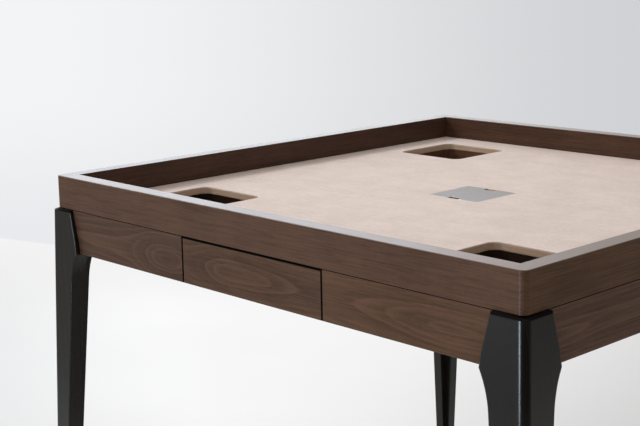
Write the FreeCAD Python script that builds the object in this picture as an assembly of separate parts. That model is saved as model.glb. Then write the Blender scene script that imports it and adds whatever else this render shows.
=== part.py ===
import FreeCAD, Part
import math
import os

from FreeCAD import Rotation, Vector

# A square mahjong table. Millimetres, +Z up, the origin on the floor under the table's centre.
# The front is the side that faces -Y.

# Overall size
table_side = 960.0  # across the rim's outer faces
table_height = 760.0  # floor to the top of the rim

# Rim: four mitred boards that stand round the playing board
rim_thickness = 28.0
rim_height = 53.0
rim_corner_radius = 9.0
rim_edge_round = 1.5
seam_bevel = 0.5  # on both edges that meet at the seam between rim and apron
spline_thickness = 4.0
spline_width = 15.0
spline_end_cover = 12.0  # wood left above and below a spline

# Apron: two panels on each side of the table, flush with the rim
apron_thickness = 16.0
apron_height = 70.0
batten_width = 30.0
batten_height = 14.0
dowel_radius = 4.0
dowel_length = 30.0
dowel_heights = (0.23, 0.77)  # shares of the apron's height

# Playing board
core_thickness = 10.0
leather_thickness = 1.5
leather_edge_round = 1.1
well_side = 146.0
well_corner_radius = 16.0
well_margin = 64.0  # from the rim's inner faces to a well
lipping_thickness = 6.0  # of the solid ring that edges the board round a well

# Wells and the centre box: trays that hang under the board
tray_depth = 38.5  # below the board
tray_wall = 9.0
tray_flange = 10.0  # how far the flange stands out from the tray's wall
flange_thickness = 8.0
tray_floor_thickness = 5.0
box_side = 86.0
box_corner_radius = 8.0

# Centre plate
plate_ledge = 7.0  # of the board, under each edge of the plate
plate_thickness = 3.0
plate_corner_radius = 1.5
notch_width = 21.0
notch_depth = 10.0
notch_corner_radius = 1.8

# Drawers, one in each side
drawer_front_width = 294.0
drawer_front_clearance = 0.5  # between a drawer front and the batten behind it
drawer_side_gap = 1.6  # shadow gap beside a drawer front
drawer_top_gap = 2.2
drawer_end_room = 29.4  # between a drawer's back and the grid board behind it
drawer_wall = 12.0
drawer_box_lift = 6.0  # box and grid boards above the apron's lower edge
drawer_box_headroom = 3.0  # under the batten
drawer_bottom_thickness = 5.0
bottom_groove_depth = 5.0
bottom_groove_lift = 5.0
stop_tab_width = 60.0
stop_tab_lap = 5.0  # how much of the batten the tab meets when the drawer is pulled out
finger_pull_width = 90.0
finger_pull_radius = 8.0
runner_height = 12.0
runner_end_room = 48.4  # between a runner's end and the grid board behind it
runner_groove_depth = 6.0
cheek_gap = 2.0  # between a drawer's side and the board it runs along

# Grid of four long boards that carry the playing board and guide the drawers
grid_thickness = 15.0

# Legs
leg_proud = 8.5  # beyond the apron, at the apron's lower edge
leg_top_fall = 4.0  # of the leg's top, from the end of a flange to the corner
leg_splay = 1.6  # degrees outward, along X and along Y
leg_core_width = 38.0  # from the apron's corner to the end of a panel
leg_corner_radius = 11.0
leg_edge_round = 2.5
shoulder_width = 69.7
leg_line_inset = 5.2  # from the shoulder's tip to where the straight stretch above it ends
leg_line_rise = 25.0  # of that place above the tip
leg_top_inset = 17.7  # from the shoulder's tip to the leg's top
shoulder_bulge = 0.55  # of the shoulder's arc, beyond its chord
shoulder_rise = 1.0  # of the shoulder's tip above the apron's lower edge
leg_sweep_radius = 130.0  # hollow curve below the shoulder
leg_knee_inset = 14.8  # of the tapered shank, at the knee
leg_knee_drop = 66.0  # of the knee below the apron
foot_width = 26.0
flange_top = 23.5  # thickness of the leg's two flanges
flange_foot = 19.7
post_side = 27.0
post_drop = 11.5  # of the corner post below the apron
glide_height = 3.0
glide_radius = 8.0
glide_pin_radius = 1.5
glide_pin_length = 14.0

# Fasteners
bolt_radius = 3.0
bolt_length = 39.0
bolt_head_height = 4.0
bolt_head_flats = 10.0
washer_radius = 7.0
washer_thickness = 1.5
across_bolt_heights = (0.04, 0.41)  # shares of the apron's height, for bolts along X
along_bolt_heights = (-0.07, 0.59)  # and for bolts along Y
batten_screw_radius = 2.0
batten_screw_length = 34.0
batten_screw_places = (80.0, 300.0)
tray_screw_radius = 1.7
tray_screw_bite = 7.0  # into the board
runner_screw_radius = 1.6
runner_screw_bite = 9.0
runner_screw_places = (0.12, 0.5, 0.88)  # shares of the runner's length
head_spread = 2.1  # screw head's radius over the screw's

# Clearances
hairline = 0.1  # round a piece that is glued or pressed into its seat
loose = 0.3  # between pieces that move apart
groove_play = 0.3  # round a runner in its groove
plate_play = 0.4  # round the centre plate

# Levels and lines that follow from the sizes above
half = table_side / 2
rim_bottom = table_height - rim_height
apron_bottom = rim_bottom - apron_height
board_top = rim_bottom + core_thickness
play_level = board_top + leather_thickness
rim_inside = half - rim_thickness
well_centre = rim_inside - well_margin - well_side / 2
plate_side = box_side + 2 * plate_ledge
apron_inside = half - apron_thickness
panel_end = half - leg_core_width
drawer_opening = drawer_front_width + 2 * drawer_side_gap
cheek_face = drawer_opening / 2
batten_bottom = rim_bottom - batten_height
batten_inside = apron_inside - batten_width
grid_bottom = apron_bottom + drawer_box_lift
grid_middle = (grid_bottom + rim_bottom) / 2
grid_outside = cheek_face + grid_thickness
runner_length = apron_inside - grid_outside - runner_end_room
leg_outer = half + leg_proud
leg_top_width = shoulder_width - leg_top_inset
leg_line_width = shoulder_width - leg_line_inset
leg_knee_width = shoulder_width - leg_knee_inset
leg_top = rim_bottom - hairline
post_bottom = apron_bottom - post_drop
post_inside = apron_inside - post_side
lipping_side = well_side + 2 * lipping_thickness
lipping_radius = well_corner_radius + lipping_thickness
plate_seat = plate_side + 2 * plate_play
reach = table_side  # a length that is sure to pass right through

UP = Vector(0, 0, 1)
CENTRE = Vector(0, 0, 0)
SIDES = {"front": 0, "right": 90, "back": 180, "left": 270}
CORNERS = {"front_right": 0, "back_right": 90, "back_left": 180, "front_left": 270}
TINY = 1e-4


# ---- Shapes that everything is made of ----


def slab(x0, x1, y0, y1, z0, z1):
    """A block between two opposite corners."""
    return Part.makeBox(x1 - x0, y1 - y0, z1 - z0, Vector(x0, y0, z0))


def prism(outline, low, high):
    """A straight-sided outline in X and Y, carried up from one level to another."""
    corners = [Vector(x, y, low) for x, y in outline]
    return Part.Face(Part.makePolygon(corners + corners[:1])).extrude(UP * (high - low))


def stands_upright(edge):
    first, last = edge.Vertexes[0], edge.Vertexes[-1]
    same_place = abs(first.X - last.X) < TINY and abs(first.Y - last.Y) < TINY
    return same_place and abs(first.Z - last.Z) > TINY


def lies_at(edge, level):
    return all(abs(vertex.Z - level) < TINY for vertex in edge.Vertexes)


def rounded_square(side, radius, low, high, x=0.0, y=0.0):
    """An upright square block with rounded corners."""
    block = slab(x - side / 2, x + side / 2, y - side / 2, y + side / 2, low, high)
    return block.makeFillet(radius, [edge for edge in block.Edges if stands_upright(edge)])


def turned(shape, degrees):
    """A copy, turned about the table's upright centre line."""
    copy = shape.copy()
    copy.rotate(CENTRE, UP, degrees)
    return copy


def mirrored(shape):
    """A copy on the other side of the table's X = 0 plane."""
    return shape.mirror(CENTRE, Vector(1, 0, 0))


def placed(shape, point, direction):
    """A shape drawn along +Z from the origin, moved to a point and turned to a direction."""
    copy = shape.copy()
    copy.Placement = FreeCAD.Placement(point, Rotation(UP, direction))
    return copy


def rod(radius, length, point, direction):
    return Part.makeCylinder(radius, length, point, direction)


def all_round(shape):
    """Four copies, one for each side or corner of the table."""
    return [turned(shape, degrees) for degrees in SIDES.values()]


def cut_away(shape, tools):
    return shape.cut(Part.makeCompound(tools))


# ---- Fasteners ----


def countersunk_screw(radius, length):
    """A wood screw along +Z, with the flat of its head at the origin."""
    head_radius = radius * head_spread
    head_height = head_radius - radius
    head = Part.makeCone(head_radius, radius, head_height)
    return head.fuse(rod(radius, length, CENTRE, UP)).removeSplitter()


def countersunk_hole(radius, length):
    """The hole that a countersunk screw fills, a hairline wider."""
    return countersunk_screw(radius + hairline, length + hairline)


def hex_bolt():
    """A bolt along +Z, with its head below the origin and a washer's thickness between."""
    corner = bolt_head_flats / math.sqrt(3)
    outline = [
        (corner * math.cos(math.radians(60 * step)), corner * math.sin(math.radians(60 * step)))
        for step in range(6)
    ]
    head_top = -washer_thickness
    head = prism(outline, head_top - bolt_head_height, head_top)
    shank = rod(bolt_radius, bolt_length + washer_thickness, UP * head_top, UP)
    return head.fuse(shank)


def bolt_washer():
    """A washer that lies below the origin, round a bolt along +Z."""
    disc = rod(washer_radius, washer_thickness, UP * -washer_thickness, UP)
    hole = rod(bolt_radius + hairline, washer_thickness, UP * -washer_thickness, UP)
    return disc.cut(hole)


# ---- Rim ----


def spline_block(extra):
    """The spline in the front right mitre, or with extra its slot."""
    centre_x = half - rim_thickness / 2
    block = slab(
        -spline_thickness / 2 - extra,
        spline_thickness / 2 + extra,
        -spline_width / 2 - extra,
        spline_width / 2 + extra,
        rim_bottom + spline_end_cover - extra,
        table_height - spline_end_cover + extra,
    )
    block.rotate(CENTRE, UP, -45)
    block.translate(Vector(centre_x, -centre_x, 0))
    return block


def rim_board():
    """The front rim board: a mitred length of the rounded ring."""
    ring = rounded_square(table_side, rim_corner_radius, rim_bottom, table_height)
    ring = ring.cut(slab(-rim_inside, rim_inside, -rim_inside, rim_inside, 0, reach))
    top = [edge for edge in ring.Edges if lies_at(edge, table_height)]
    ring = ring.makeFillet(rim_edge_round, top)
    seam = [edge for edge in ring.Edges if lies_at(edge, rim_bottom) and is_outside(edge)]
    ring = ring.makeChamfer(seam_bevel, seam)
    mitred = [(-half, -half), (half, -half), (rim_inside, -rim_inside), (-rim_inside, -rim_inside)]
    board = ring.common(prism(mitred, rim_bottom, table_height))
    slot = spline_block(hairline)
    holes = [batten_screw_hole(place) for place in screw_row()]
    return cut_away(board, [slot, turned(slot, -90)] + holes)


def is_outside(edge):
    """True for an edge that lies on the rim's outer faces or its rounded corners."""
    middle = edge.BoundBox.Center
    return max(abs(middle.x), abs(middle.y)) > rim_inside + rim_thickness / 2


# ---- Battens and their screws ----


def screw_row():
    return [sign * place for sign in (-1, 1) for place in batten_screw_places]


def batten_screw_line():
    """How far out the screws stand: over the strip that the rim and the batten share."""
    return (rim_inside + apron_inside) / 2


def batten_screw_hole(place):
    point = Vector(place, -batten_screw_line(), batten_bottom)
    return placed(countersunk_hole(batten_screw_radius, batten_screw_length), point, UP)


def batten(half_length):
    """The front batten, which the rim, the board and the drawer stops bear on."""
    bar = slab(
        -half_length, half_length, -apron_inside, -batten_inside, batten_bottom, rim_bottom
    )
    return cut_away(bar, [batten_screw_hole(place) for place in screw_row()])


def batten_screws():
    screw = countersunk_screw(batten_screw_radius, batten_screw_length)
    row = [
        placed(screw, Vector(place, -batten_screw_line(), batten_bottom), UP)
        for place in screw_row()
    ]
    return [turned(one, degrees) for degrees in SIDES.values() for one in row]


# ---- Apron ----


def dowel_levels():
    return [apron_bottom + apron_height * share for share in dowel_heights]


def panel_dowels(radius, length):
    """Rods at the leg's end of the front right panel, half in the panel and half in the leg."""
    middle = half - apron_thickness / 2
    return [
        rod(radius, length, Vector(panel_end - length / 2, -middle, level), Vector(1, 0, 0))
        for level in dowel_levels()
    ]


def corner_dowels(radius, length):
    """The dowels of both panels that meet the front right leg."""
    ahead = panel_dowels(radius, length)
    return ahead + [across_corner(one) for one in ahead]


def across_corner(shape):
    """A copy mirrored in the upright plane that runs through the front right corner."""
    return shape.mirror(CENTRE, Vector(1, 1, 0))


def apron_panel():
    """The front panel on the right of its drawer."""
    panel = slab(cheek_face, panel_end, -half, -apron_inside, apron_bottom, rim_bottom)
    face_edges = [
        edge
        for edge in panel.Edges
        if edge.BoundBox.YMax < -half + TINY and not stands_upright(edge)
    ]
    panel = panel.makeChamfer(seam_bevel, face_edges)
    return cut_away(panel, panel_dowels(dowel_radius + hairline, dowel_length + hairline))


def panel_space():
    """The room that the front right panel takes in the leg beside it."""
    return slab(
        cheek_face,
        panel_end + hairline,
        -half - hairline,
        -apron_inside,
        apron_bottom - hairline,
        rim_bottom,
    )


# ---- Grid boards ----


def grid_board(slot_low, slot_high):
    """A long board along Y, notched for the battens and halved where it crosses two others."""
    inner, outer = cheek_face, grid_outside
    board = slab(inner, outer, -apron_inside, apron_inside, grid_bottom, rim_bottom)
    tools = []
    for sign in (-1, 1):
        ends = sorted((sign * (batten_inside - hairline), sign * reach))
        tools.append(slab(inner, outer, *ends, batten_bottom - hairline, reach))
        crossing = sorted((sign * (inner - hairline), sign * (outer + hairline)))
        tools.append(slab(inner, outer, *crossing, slot_low, slot_high))
    for degrees in (0, 180):
        tools += [turned(hole, degrees) for hole in runner_screw_holes()]
    return cut_away(board, tools)


# ---- Playing board, leather and plate ----


def well_places():
    return [(sx * well_centre, sy * well_centre) for sx in (-1, 1) for sy in (-1, 1)]


def playing_board():
    edge = rim_inside - loose
    board = slab(-edge, edge, -edge, edge, rim_bottom, board_top)
    cut_side, cut_radius = lipping_side + 2 * hairline, lipping_radius + hairline
    tools = [rounded_square(cut_side, cut_radius, 0, reach, x, y) for x, y in well_places()]
    tools.append(rounded_square(box_side, box_corner_radius, 0, reach))
    tools += finger_notches(rim_bottom, reach)
    seat = play_level - plate_thickness - loose
    tools.append(rounded_square(plate_seat, plate_corner_radius, seat, reach))
    tools += tray_screw_holes()
    return cut_away(board, tools)


def well_lipping():
    """The solid ring that edges the board round the front right well, under the leather."""
    x, y = well_centre, -well_centre
    ring = rounded_square(lipping_side, lipping_radius, rim_bottom, board_top, x, y)
    return ring.cut(rounded_square(well_side, well_corner_radius, rim_bottom, board_top, x, y))


def leather():
    """The covering: a sheet over the board and its lippings, rounded where a well begins."""
    edge = rim_inside - loose
    sheet = slab(-edge, edge, -edge, edge, board_top, play_level)
    tools = [rounded_square(plate_seat, plate_corner_radius, 0, reach)]
    for x, y in well_places():
        tools.append(rounded_square(well_side, well_corner_radius, 0, reach, x, y))
    sheet = cut_away(sheet, tools)
    rounded = [
        edge
        for edge in sheet.Edges
        if lies_at(edge, play_level) and is_well_edge(edge.BoundBox.Center)
    ]
    return sheet.makeFillet(leather_edge_round, rounded)


def is_well_edge(point):
    """True for a place on the rounded square of a well."""
    across = abs(abs(point.x) - well_centre)
    along = abs(abs(point.y) - well_centre)
    return max(across, along) < well_side / 2 + TINY


def finger_notches(low, high):
    """The room for a fingertip in the plate's back and front edges, and in the board below."""
    inner_edge = plate_side / 2 - notch_depth
    notch = slab(-notch_width / 2, notch_width / 2, inner_edge, plate_seat / 2, low, high)
    corners = [
        edge
        for edge in notch.Edges
        if stands_upright(edge) and abs(edge.BoundBox.YMax - inner_edge) < TINY
    ]
    notch = notch.makeFillet(notch_corner_radius, corners)
    return [notch, turned(notch, 180)]


def centre_plate():
    """The lid of the centre box, with a finger notch in its front and back edges."""
    low = play_level - plate_thickness
    plate = rounded_square(plate_side, plate_corner_radius, low, play_level)
    return cut_away(plate, finger_notches(low, play_level))


# ---- Trays ----


def tray(opening, corner_radius, x=0.0, y=0.0):
    """The walls of a well or of the centre box, with the flange that is screwed to the board."""
    low = rim_bottom - tray_depth
    wall_side = opening + 2 * tray_wall
    flange_side = wall_side + 2 * tray_flange
    walls = rounded_square(wall_side, corner_radius + tray_wall, low, rim_bottom, x, y)
    flange = rounded_square(
        flange_side, corner_radius + tray_wall, rim_bottom - flange_thickness, rim_bottom, x, y
    )
    inside = rounded_square(opening, corner_radius, low, rim_bottom, x, y)
    body = walls.fuse(flange).cut(inside).removeSplitter()
    return cut_away(body, screw_circle(tray_screw_hole(), opening, x, y))


def tray_floor(opening, corner_radius, x=0.0, y=0.0):
    high = rim_bottom - tray_depth
    side = opening + 2 * tray_wall
    return rounded_square(side, corner_radius + tray_wall, high - tray_floor_thickness, high, x, y)


def screw_circle(shape, opening, x, y):
    """A screw or its hole in the middle of each side of a tray's flange."""
    away = opening / 2 + tray_wall + tray_flange / 2
    level = rim_bottom - flange_thickness
    spots = ((away, 0), (0, away), (-away, 0), (0, -away))
    return [placed(shape, Vector(x + dx, y + dy, level), UP) for dx, dy in spots]


def tray_screw_hole():
    return countersunk_hole(tray_screw_radius, flange_thickness + tray_screw_bite)


def at_every_tray(shape):
    copies = screw_circle(shape, box_side, 0, 0)
    for x, y in well_places():
        copies += screw_circle(shape, well_side, x, y)
    return copies


def tray_screw_holes():
    return at_every_tray(tray_screw_hole())


def tray_screws():
    return at_every_tray(
        countersunk_screw(tray_screw_radius, flange_thickness + tray_screw_bite)
    )


# ---- Drawer in the front side ----

drawer_low = grid_bottom
drawer_high = batten_bottom - drawer_box_headroom
drawer_face = -half
front_back = -apron_inside - drawer_front_clearance
drawer_end = -(grid_outside + drawer_end_room)
drawer_side_out = cheek_face - cheek_gap
drawer_side_in = drawer_side_out - drawer_wall
runner_level = (drawer_low + drawer_high) / 2
bottom_low = drawer_low + bottom_groove_lift
drawer_travel = (drawer_end - drawer_wall) + batten_inside - loose


def bottom_space(extra):
    """The drawer's bottom panel, or with extra the grooves that it sits in."""
    deep = bottom_groove_depth - hairline + extra
    return slab(
        -drawer_side_in - deep,
        drawer_side_in + deep,
        front_back - deep,
        drawer_end - drawer_wall + deep,
        bottom_low - extra,
        bottom_low + drawer_bottom_thickness + extra,
    )


def drawer_front():
    front = slab(
        -drawer_front_width / 2,
        drawer_front_width / 2,
        drawer_face,
        front_back,
        apron_bottom,
        rim_bottom - drawer_top_gap,
    )
    face_edges = [edge for edge in front.Edges if edge.BoundBox.YMax < drawer_face + TINY]
    front = front.makeChamfer(seam_bevel, face_edges)
    start = Vector(-finger_pull_width / 2, front_back, apron_bottom)
    pull = rod(finger_pull_radius, finger_pull_width, start, Vector(1, 0, 0))
    return cut_away(front, [pull, bottom_space(hairline)])


def drawer_side():
    """The right side, grooved outside for the runner and inside for the bottom."""
    side = slab(drawer_side_in, drawer_side_out, front_back, drawer_end, drawer_low, drawer_high)
    groove = slab(
        drawer_side_out - runner_groove_depth,
        reach,
        -reach,
        reach,
        runner_level - runner_height / 2 - groove_play,
        runner_level + runner_height / 2 + groove_play,
    )
    return cut_away(side, [groove, bottom_space(hairline)])


def drawer_back():
    """The back, with a tab in the middle that meets the batten and stops the drawer."""
    near = drawer_end - drawer_wall
    board = slab(-drawer_side_in, drawer_side_in, near, drawer_end, drawer_low, drawer_high)
    tab = slab(
        -stop_tab_width / 2,
        stop_tab_width / 2,
        near,
        drawer_end,
        drawer_high,
        batten_bottom + stop_tab_lap,
    )
    return board.fuse(tab).removeSplitter().cut(bottom_space(hairline))


def runner():
    """The right runner, which the groove in the drawer's side slides along."""
    return slab(
        drawer_side_out - runner_groove_depth + loose,
        cheek_face,
        -apron_inside,
        -apron_inside + runner_length,
        runner_level - runner_height / 2,
        runner_level + runner_height / 2,
    )


def at_runner_screws(shape):
    """Copies of a screw or its hole along the right runner, driven outward into its cheek."""
    start = drawer_side_out - runner_groove_depth + loose
    outward = Vector(1, 0, 0)
    return [
        placed(shape, Vector(start, runner_length * share - apron_inside, runner_level), outward)
        for share in runner_screw_places
    ]


def runner_screw_length():
    return cheek_gap + runner_groove_depth - loose + runner_screw_bite


def runner_screw_holes():
    """Holes in the grid board on the right of the front drawer and of the back one's left."""
    ahead = at_runner_screws(countersunk_hole(runner_screw_radius, runner_screw_length()))
    behind = [hole.mirror(CENTRE, Vector(0, 1, 0)) for hole in ahead]
    return ahead + behind


def runners():
    right = cut_away(
        runner(), at_runner_screws(countersunk_hole(runner_screw_radius, runner_screw_length()))
    )
    return all_round(right) + all_round(mirrored(right))


def runner_screws():
    right = at_runner_screws(countersunk_screw(runner_screw_radius, runner_screw_length()))
    screws = []
    for screw in right:
        screws += all_round(screw) + all_round(mirrored(screw))
    return screws


# ---- Leg at the front right corner ----


def leg_face_outline():
    """The front flange seen from the front, as edges in the plane of its outer face."""
    tip = apron_bottom + shoulder_rise
    knee = apron_bottom - leg_knee_drop
    slope = (leg_knee_width - foot_width) / knee
    upright = math.hypot(1, slope)
    offset = (shoulder_width - (foot_width + slope * tip)) / upright
    run = math.sqrt(2 * leg_sweep_radius * offset - offset**2)
    along = Vector(-slope, 0, 1) / upright
    outward = Vector(-1, 0, -slope) / upright

    def at(width, level):
        return Vector(leg_outer - width, -leg_outer, level)

    shoulder = at(shoulder_width, tip)
    foot_of_tip = shoulder - outward * offset
    leaves_shank = foot_of_tip - along * run
    sweep_centre = leaves_shank + outward * leg_sweep_radius
    middle = (leaves_shank + shoulder) / 2 - sweep_centre
    sweep_middle = sweep_centre + middle * (leg_sweep_radius / middle.Length)
    line_end = at(leg_line_width, tip + leg_line_rise)
    bulge = (line_end + shoulder) / 2 + Vector(-shoulder_bulge, 0, 0)
    top_out, top_in = at(0, leg_top + leg_proud), at(leg_top_width, leg_top)
    over_top = top_in + (top_in - line_end) * (leg_proud / (leg_top - line_end.z))
    over_top.z = leg_top + leg_proud
    foot_out, foot_in = at(0, 0) - UP * glide_height, at(foot_width, 0) - UP * glide_height
    return [
        Part.LineSegment(foot_out, foot_in).toShape(),
        Part.LineSegment(foot_in, leaves_shank).toShape(),
        Part.Arc(leaves_shank, sweep_middle, shoulder).toShape(),
        Part.Arc(shoulder, bulge, line_end).toShape(),
        Part.LineSegment(line_end, over_top).toShape(),
        Part.LineSegment(over_top, top_out).toShape(),
        Part.LineSegment(top_out, foot_out).toShape(),
    ]


def front_flange():
    """The flange on the front face: its outline, thinned towards the foot."""
    face = Part.Face(Part.Wire(leg_face_outline()))
    deep = face.extrude(Vector(0, shoulder_width, 0))
    low, high = -glide_height, leg_top + leg_proud
    corners = [
        Vector(leg_outer, -leg_outer, low),
        Vector(leg_outer, flange_foot - leg_outer, low),
        Vector(leg_outer, flange_top - leg_outer, apron_bottom),
        Vector(leg_outer, flange_top - leg_outer, high),
        Vector(leg_outer, -leg_outer, high),
    ]
    side = Part.Face(Part.makePolygon(corners + corners[:1]))
    flange = deep.common(side.extrude(Vector(-shoulder_width * 2, 0, 0)))
    inner_edges = [edge for edge in flange.Edges if is_flange_arris(edge)]
    return flange.makeFillet(leg_edge_round, inner_edges)


def is_flange_arris(edge):
    """True for the edges of the outer face on its inward side, from foot to top."""
    box = edge.BoundBox
    on_face = box.YMax < -leg_outer + TINY
    return on_face and box.XMax < leg_outer - TINY and box.ZLength > TINY


def leg_blank():
    """Both flanges as one L, with a rounded outer corner, leaning outward."""
    ahead = front_flange()
    blank = ahead.fuse(across_corner(ahead)).removeSplitter()
    corner = [
        edge
        for edge in blank.Edges
        if stands_upright(edge)
        and abs(edge.Vertexes[0].X - leg_outer) < TINY
        and abs(edge.Vertexes[0].Y + leg_outer) < TINY
    ]
    blank = blank.makeFillet(leg_corner_radius, corner)
    lean = math.degrees(math.atan(math.sqrt(2) * math.tan(math.radians(leg_splay))))
    blank.rotate(Vector(leg_outer, -leg_outer, apron_bottom), Vector(1, 1, 0), -lean)
    return blank


def above_leg_top():
    """The room over a leg: level under the rim, and falling to the corner outside it."""
    fall = math.degrees(math.atan(math.sqrt(2) * leg_top_fall / leg_top_width))
    sloping = slab(-reach, reach, -reach, reach, 0, reach)
    sloping.rotate(CENTRE, Vector(1, 1, 0), fall)
    sloping.translate(Vector(leg_outer - leg_top_width, -leg_outer, leg_top))
    return [sloping, slab(-reach, reach, -reach, reach, leg_top, table_height + reach)]


def foot_middle():
    """How far the middle of a foot is from the table's centre, along X and along Y."""
    return leg_outer + apron_bottom * math.tan(math.radians(leg_splay)) - foot_width / 2


def leg():
    space = panel_space()
    middle = foot_middle()
    pin_top = glide_height + glide_pin_length + hairline
    tools = [
        slab(-reach, reach, -reach, reach, -reach, glide_height),
        slab(-apron_inside, apron_inside, -apron_inside, apron_inside, post_bottom, reach),
        space,
        across_corner(space),
        rod(glide_pin_radius + hairline, pin_top, Vector(middle, -middle, 0), UP),
    ]
    tools += above_leg_top()
    tools += corner_dowels(dowel_radius + hairline, dowel_length + hairline)
    tools += at_leg_bolts(rod(bolt_radius + hairline, bolt_length + hairline, CENTRE, UP))
    return cut_away(leg_blank(), tools)


def at_leg_bolts(shape):
    """Copies at the front right post's bolts, pointing outward through it into the leg."""
    middle = (apron_inside + post_inside) / 2
    across = [
        placed(shape, Vector(post_inside, -middle, bolt_level(share)), Vector(1, 0, 0))
        for share in across_bolt_heights
    ]
    along = [
        placed(shape, Vector(middle, -post_inside, bolt_level(share)), Vector(0, -1, 0))
        for share in along_bolt_heights
    ]
    return across + along


def bolt_level(share):
    return apron_bottom + apron_height * share


def corner_post():
    post = slab(
        post_inside, apron_inside, -apron_inside, -post_inside, post_bottom, batten_bottom
    )
    return cut_away(post, at_leg_bolts(rod(bolt_radius + hairline, bolt_length, CENTRE, UP)))


def leg_glide():
    middle = foot_middle()
    pad = rod(glide_radius, glide_height, Vector(middle, -middle, 0), UP)
    pin = rod(glide_pin_radius, glide_height + glide_pin_length, Vector(middle, -middle, 0), UP)
    return pad.fuse(pin).removeSplitter()


def everywhere(shapes):
    """One compound of all the shapes, repeated at the table's four corners or sides."""
    return Part.makeCompound([copy for shape in shapes for copy in all_round(shape)])


# ---- The whole table ----


def table_pieces():
    pieces = {}
    board, panel = rim_board(), apron_panel()
    front, back, side = drawer_front(), drawer_back(), drawer_side()
    bottom = bottom_space(0.0)
    for name, degrees in SIDES.items():
        pieces["rim_" + name] = turned(board, degrees)
        pieces["apron_" + name + "_right"] = turned(panel, degrees)
        pieces["apron_" + name + "_left"] = turned(mirrored(panel), degrees)
        length = apron_inside if name in ("front", "back") else batten_inside
        pieces["batten_" + name] = turned(batten(length), degrees)
        sides = Part.makeCompound([side, mirrored(side)])
        pieces["drawer_front_" + name] = turned(front, degrees)
        pieces["drawer_sides_" + name] = turned(sides, degrees)
        pieces["drawer_back_" + name] = turned(back, degrees)
        pieces["drawer_bottom_" + name] = turned(bottom, degrees)
    upper = grid_board(grid_middle - hairline, reach)
    lower = grid_board(-reach, grid_middle)
    pieces["grid_board_right"] = upper
    pieces["grid_board_left"] = mirrored(upper)
    pieces["grid_board_back"] = turned(lower, 90)
    pieces["grid_board_front"] = turned(lower, 270)
    one_leg = leg()
    well = tray(well_side, well_corner_radius, well_centre, -well_centre)
    for name, degrees in CORNERS.items():
        pieces["leg_" + name] = turned(one_leg, degrees)
        pieces["well_tray_" + name] = turned(well, degrees)
    well_floor = tray_floor(well_side, well_corner_radius, well_centre, -well_centre)
    pieces["well_tray_floors"] = everywhere([well_floor])
    pieces["corner_posts"] = everywhere([corner_post()])
    pieces["mitre_splines"] = everywhere([spline_block(0.0)])
    pieces["apron_dowels"] = everywhere(corner_dowels(dowel_radius, dowel_length))
    pieces["leg_bolts"] = everywhere(at_leg_bolts(hex_bolt()) + at_leg_bolts(bolt_washer()))
    pieces["leg_glides"] = everywhere([leg_glide()])
    pieces["playing_board"] = playing_board()
    pieces["well_lippings"] = everywhere([well_lipping()])
    pieces["leather_top"] = leather()
    pieces["centre_box"] = tray(box_side, box_corner_radius)
    pieces["centre_box_floor"] = tray_floor(box_side, box_corner_radius)
    pieces["centre_plate"] = centre_plate()
    pieces["drawer_runners"] = Part.makeCompound(runners())
    pieces["batten_screws"] = Part.makeCompound(batten_screws())
    pieces["tray_screws"] = Part.makeCompound(tray_screws())
    pieces["runner_screws"] = Part.makeCompound(runner_screws())
    return pieces


def main():
    os.makedirs("parts", exist_ok=True)
    for name, shape in table_pieces().items():
        shape.exportStep("parts/" + name + ".step")
        print(name, len(shape.Solids), round(shape.Volume / 1000, 2), shape.isValid())
    print("drawer travel", round(drawer_travel, 2))


main()
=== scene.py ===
# %% [markdown]
# # A mahjong table with drawers
#
# A square table for four players: a walnut rim round a sunk leather top, four square wells for
# counters, a steel lid over a box in the middle, a drawer in every side and four black legs.
# The joinery is already made in its real sizes, so this lesson gives it its finishes, and then a
# floor, light and a camera. Everything is in metres, with the floor at zero and the table's
# middle over the origin.

# %% Load the joinery
import math

import bpy
from mathutils import Matrix, Vector


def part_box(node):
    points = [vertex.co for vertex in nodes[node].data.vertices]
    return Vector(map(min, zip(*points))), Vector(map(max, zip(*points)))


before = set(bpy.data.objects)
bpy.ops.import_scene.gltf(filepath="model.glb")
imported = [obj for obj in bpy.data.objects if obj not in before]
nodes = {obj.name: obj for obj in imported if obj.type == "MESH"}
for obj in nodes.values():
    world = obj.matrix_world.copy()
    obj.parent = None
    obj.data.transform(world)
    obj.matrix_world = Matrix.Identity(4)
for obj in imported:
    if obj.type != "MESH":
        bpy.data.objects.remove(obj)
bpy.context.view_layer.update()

# %% [markdown]
# ## Levels and lines of the table
#
# The finishes have to know where the boards meet and where the legs end. Those places could be
# typed in, but then they would be wrong as soon as the joinery changed, so they are measured
# from the pieces themselves.

# %% Measure the table
table_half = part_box("apron_front_left")[0].y * -1
rim_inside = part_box("rim_front")[1].y * -1
rim_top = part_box("rim_front")[1].z
seam_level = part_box("apron_front_left")[1].z
leg_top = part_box("leg_front_left")[1].z
SIDES = {"front": 0, "right": 90, "back": 180, "left": 270}
CORNERS = {"front_right": 0, "back_right": 90, "back_left": 180, "front_left": 270}
print("rim outside at", round(table_half, 4), "and inside at", round(rim_inside, 4))
print("apron up to", round(seam_level, 4), "and legs up to", round(leg_top, 4))

# %% [markdown]
# ## Tools for wiring finishes
#
# Each finish is a small network of nodes. The networks could be wired by hand in the editor, but
# a short set of helpers keeps them readable here: one adds a node, some do a sum, one mixes two
# colours, and three more make a node group with named sockets and put it to use. Colours are
# written as on a colour card, from 0 to 255, and turned into the linear values that light needs.

# %% Helpers for nodes
def linear(level):
    """The amount of light behind one number of a colour card."""
    share = level / 255
    return share / 12.92 if share <= 0.04045 else ((share + 0.055) / 1.055) ** 2.4


def card(red, green, blue):
    """A colour as it is read off a colour card."""
    return (linear(red), linear(green), linear(blue), 1.0)


def join(tree, socket, value):
    """Links a socket to a socket, or sets it to a plain value."""
    if isinstance(value, bpy.types.NodeSocket):
        tree.links.new(value, socket)
    else:
        socket.default_value = value


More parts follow.
